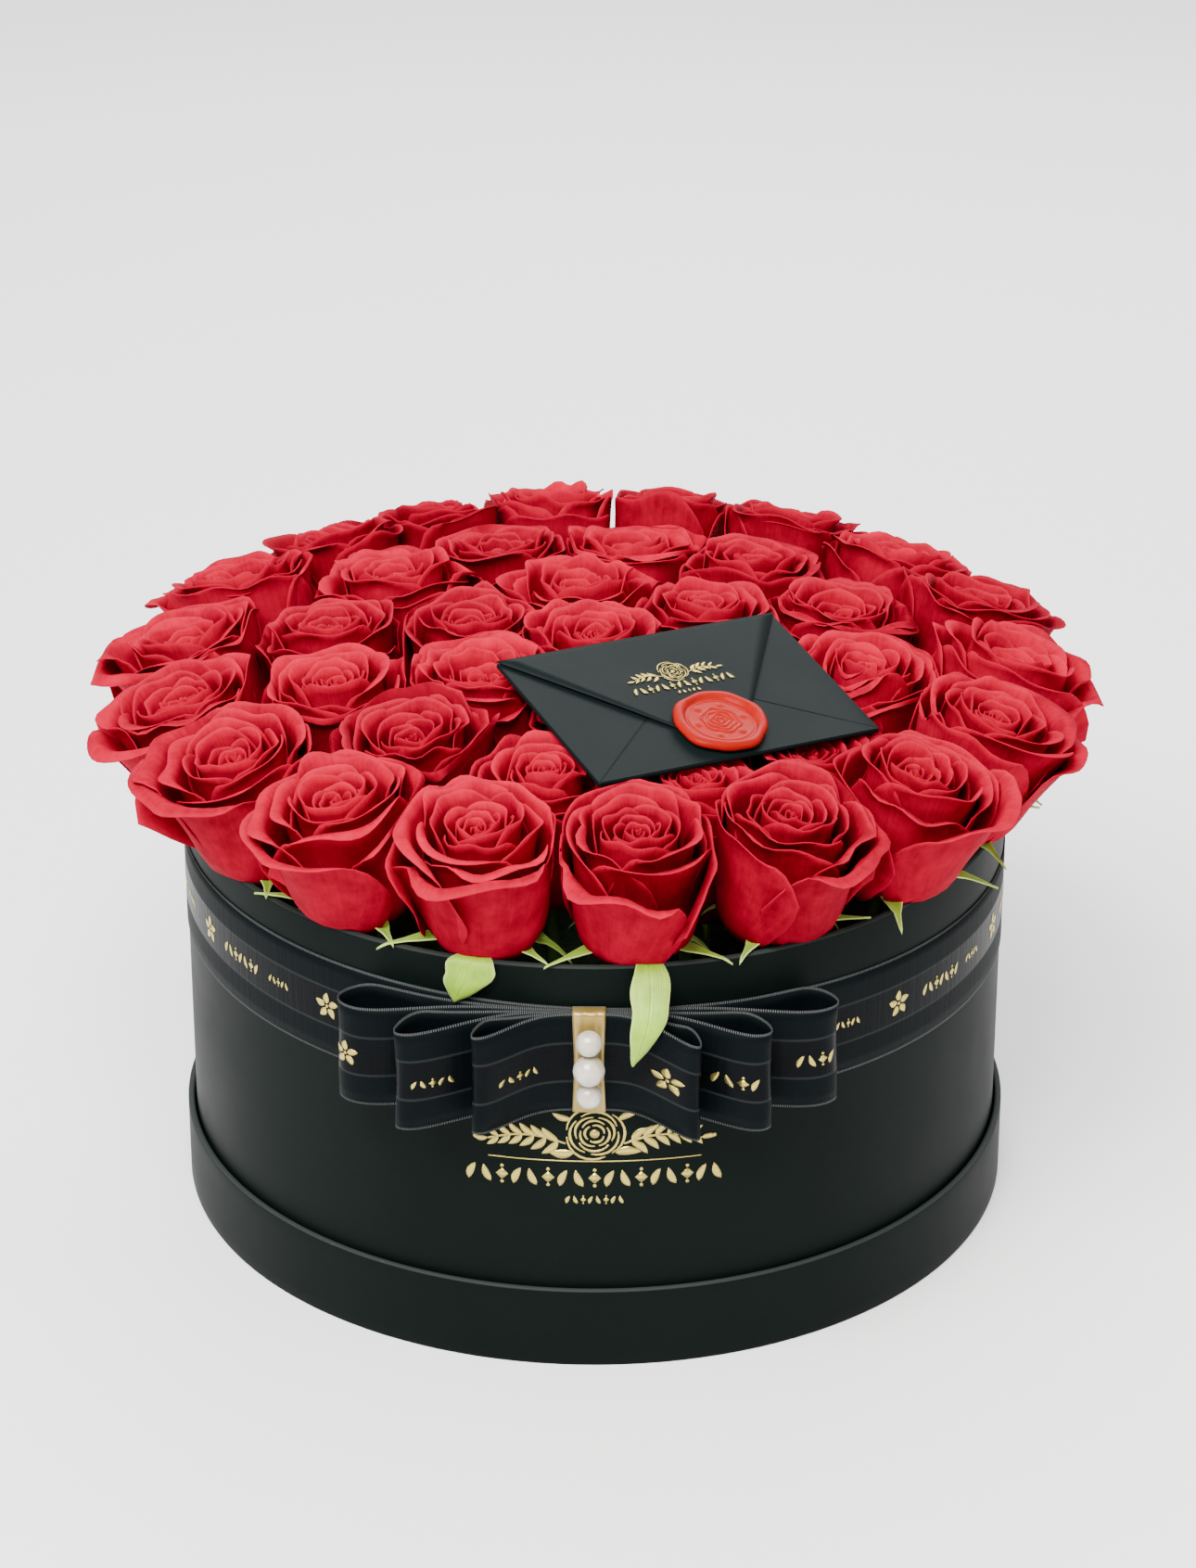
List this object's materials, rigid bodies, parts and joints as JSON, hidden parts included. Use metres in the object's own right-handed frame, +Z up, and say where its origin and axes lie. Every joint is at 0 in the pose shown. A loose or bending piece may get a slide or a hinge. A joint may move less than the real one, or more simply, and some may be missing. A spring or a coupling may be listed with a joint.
{
  "type": "flower box",
  "caption": "Round wrapped-board flower box standing in its upturned lid, with a ribbon and bow, rose heads in foam and a sealed envelope on top.",
  "frame": {"origin": "centre of the underside of the upturned lid that the box stands in", "axes": "+Z up along the box's axis, -Y towards the bow at the front, +X to the right of someone who faces the bow"},
  "size_m": [0.3367, 0.346, 0.2202],
  "materials": {
    "black_paper": "matte",
    "grey_board": "matte",
    "black_ribbon": "satin",
    "gold_satin": "satin",
    "pearl": "gloss",
    "liner_plastic": "satin",
    "wet_foam": "matte",
    "stem_green": "matte",
    "sepal_green": "matte",
    "rose_petal": "matte",
    "envelope_paper": "satin",
    "sealing_wax": "gloss",
    "ivory_card": "matte"
  },
  "bodies": {
    "lid": {"lid_disc": "black_paper", "lid_rim": "grey_board", "lid_wrap_paper": "black_paper"},
    "box": {"box_base": "grey_board", "box_tube": "grey_board", "box_wrap_paper": "black_paper", "ribbon_band": "black_ribbon", "bow_loop_left_long": "black_ribbon", "bow_loop_right_long": "black_ribbon", "bow_loop_left_middle": "black_ribbon", "bow_loop_right_middle": "black_ribbon", "bow_loop_left_short": "black_ribbon", "bow_loop_right_short": "black_ribbon", "bow_clasp": "gold_satin", "pearls": "pearl"},
    "insert": {"liner_tray": "liner_plastic", "foam_bricks": "wet_foam", "stems": "stem_green", "sepals": "sepal_green", "rose_outer_01": "rose_petal", "rose_outer_02": "rose_petal", "rose_outer_03": "rose_petal", "rose_outer_04": "rose_petal", "rose_outer_05": "rose_petal", "rose_outer_06": "rose_petal", "rose_outer_07": "rose_petal", "rose_outer_08": "rose_petal", "rose_outer_09": "rose_petal", "rose_outer_10": "rose_petal", "rose_outer_11": "rose_petal", "rose_outer_12": "rose_petal", "rose_outer_13": "rose_petal", "rose_outer_14": "rose_petal", "rose_outer_15": "rose_petal", "rose_outer_16": "rose_petal", "rose_outer_17": "rose_petal", "rose_outer_18": "rose_petal", "rose_middle_01": "rose_petal", "rose_middle_02": "rose_petal", "rose_middle_03": "rose_petal", "rose_middle_04": "rose_petal", "rose_middle_05": "rose_petal", "rose_middle_06": "rose_petal", "rose_middle_07": "rose_petal", "rose_middle_08": "rose_petal", "rose_middle_09": "rose_petal", "rose_middle_10": "rose_petal", "rose_middle_11": "rose_petal", "rose_middle_12": "rose_petal", "rose_inner_01": "rose_petal", "rose_inner_02": "rose_petal", "rose_inner_03": "rose_petal", "rose_inner_04": "rose_petal", "rose_inner_05": "rose_petal", "rose_inner_06": "rose_petal", "rose_centre": "rose_petal"},
    "envelope": {"envelope_pocket": "envelope_paper", "note_card": "ivory_card"},
    "flap": {"envelope_flap": "envelope_paper", "wax_seal": "sealing_wax"}
  },
  "joints": [
    {"name": "box_lift", "type": "slide", "parent": "lid", "child": "box", "axis": [0, 0, 1], "range_m": [0, 0.06]},
    {"name": "insert_lift", "type": "slide", "parent": "box", "child": "insert", "axis": [0, 0, 1], "range_m": [0, 0.17]},
    {"name": "envelope_lift", "type": "slide", "parent": "insert", "child": "envelope", "axis": [0, 0, 1], "range_m": [0, 0.1]},
    {"name": "flap_hinge", "type": "hinge", "parent": "envelope", "child": "flap", "pos_m": [0.01516, -0.01215, 0.21658], "axis": [-0.8557, -0.5141, 0.0593], "range_deg": [0, 170]}
  ]
}
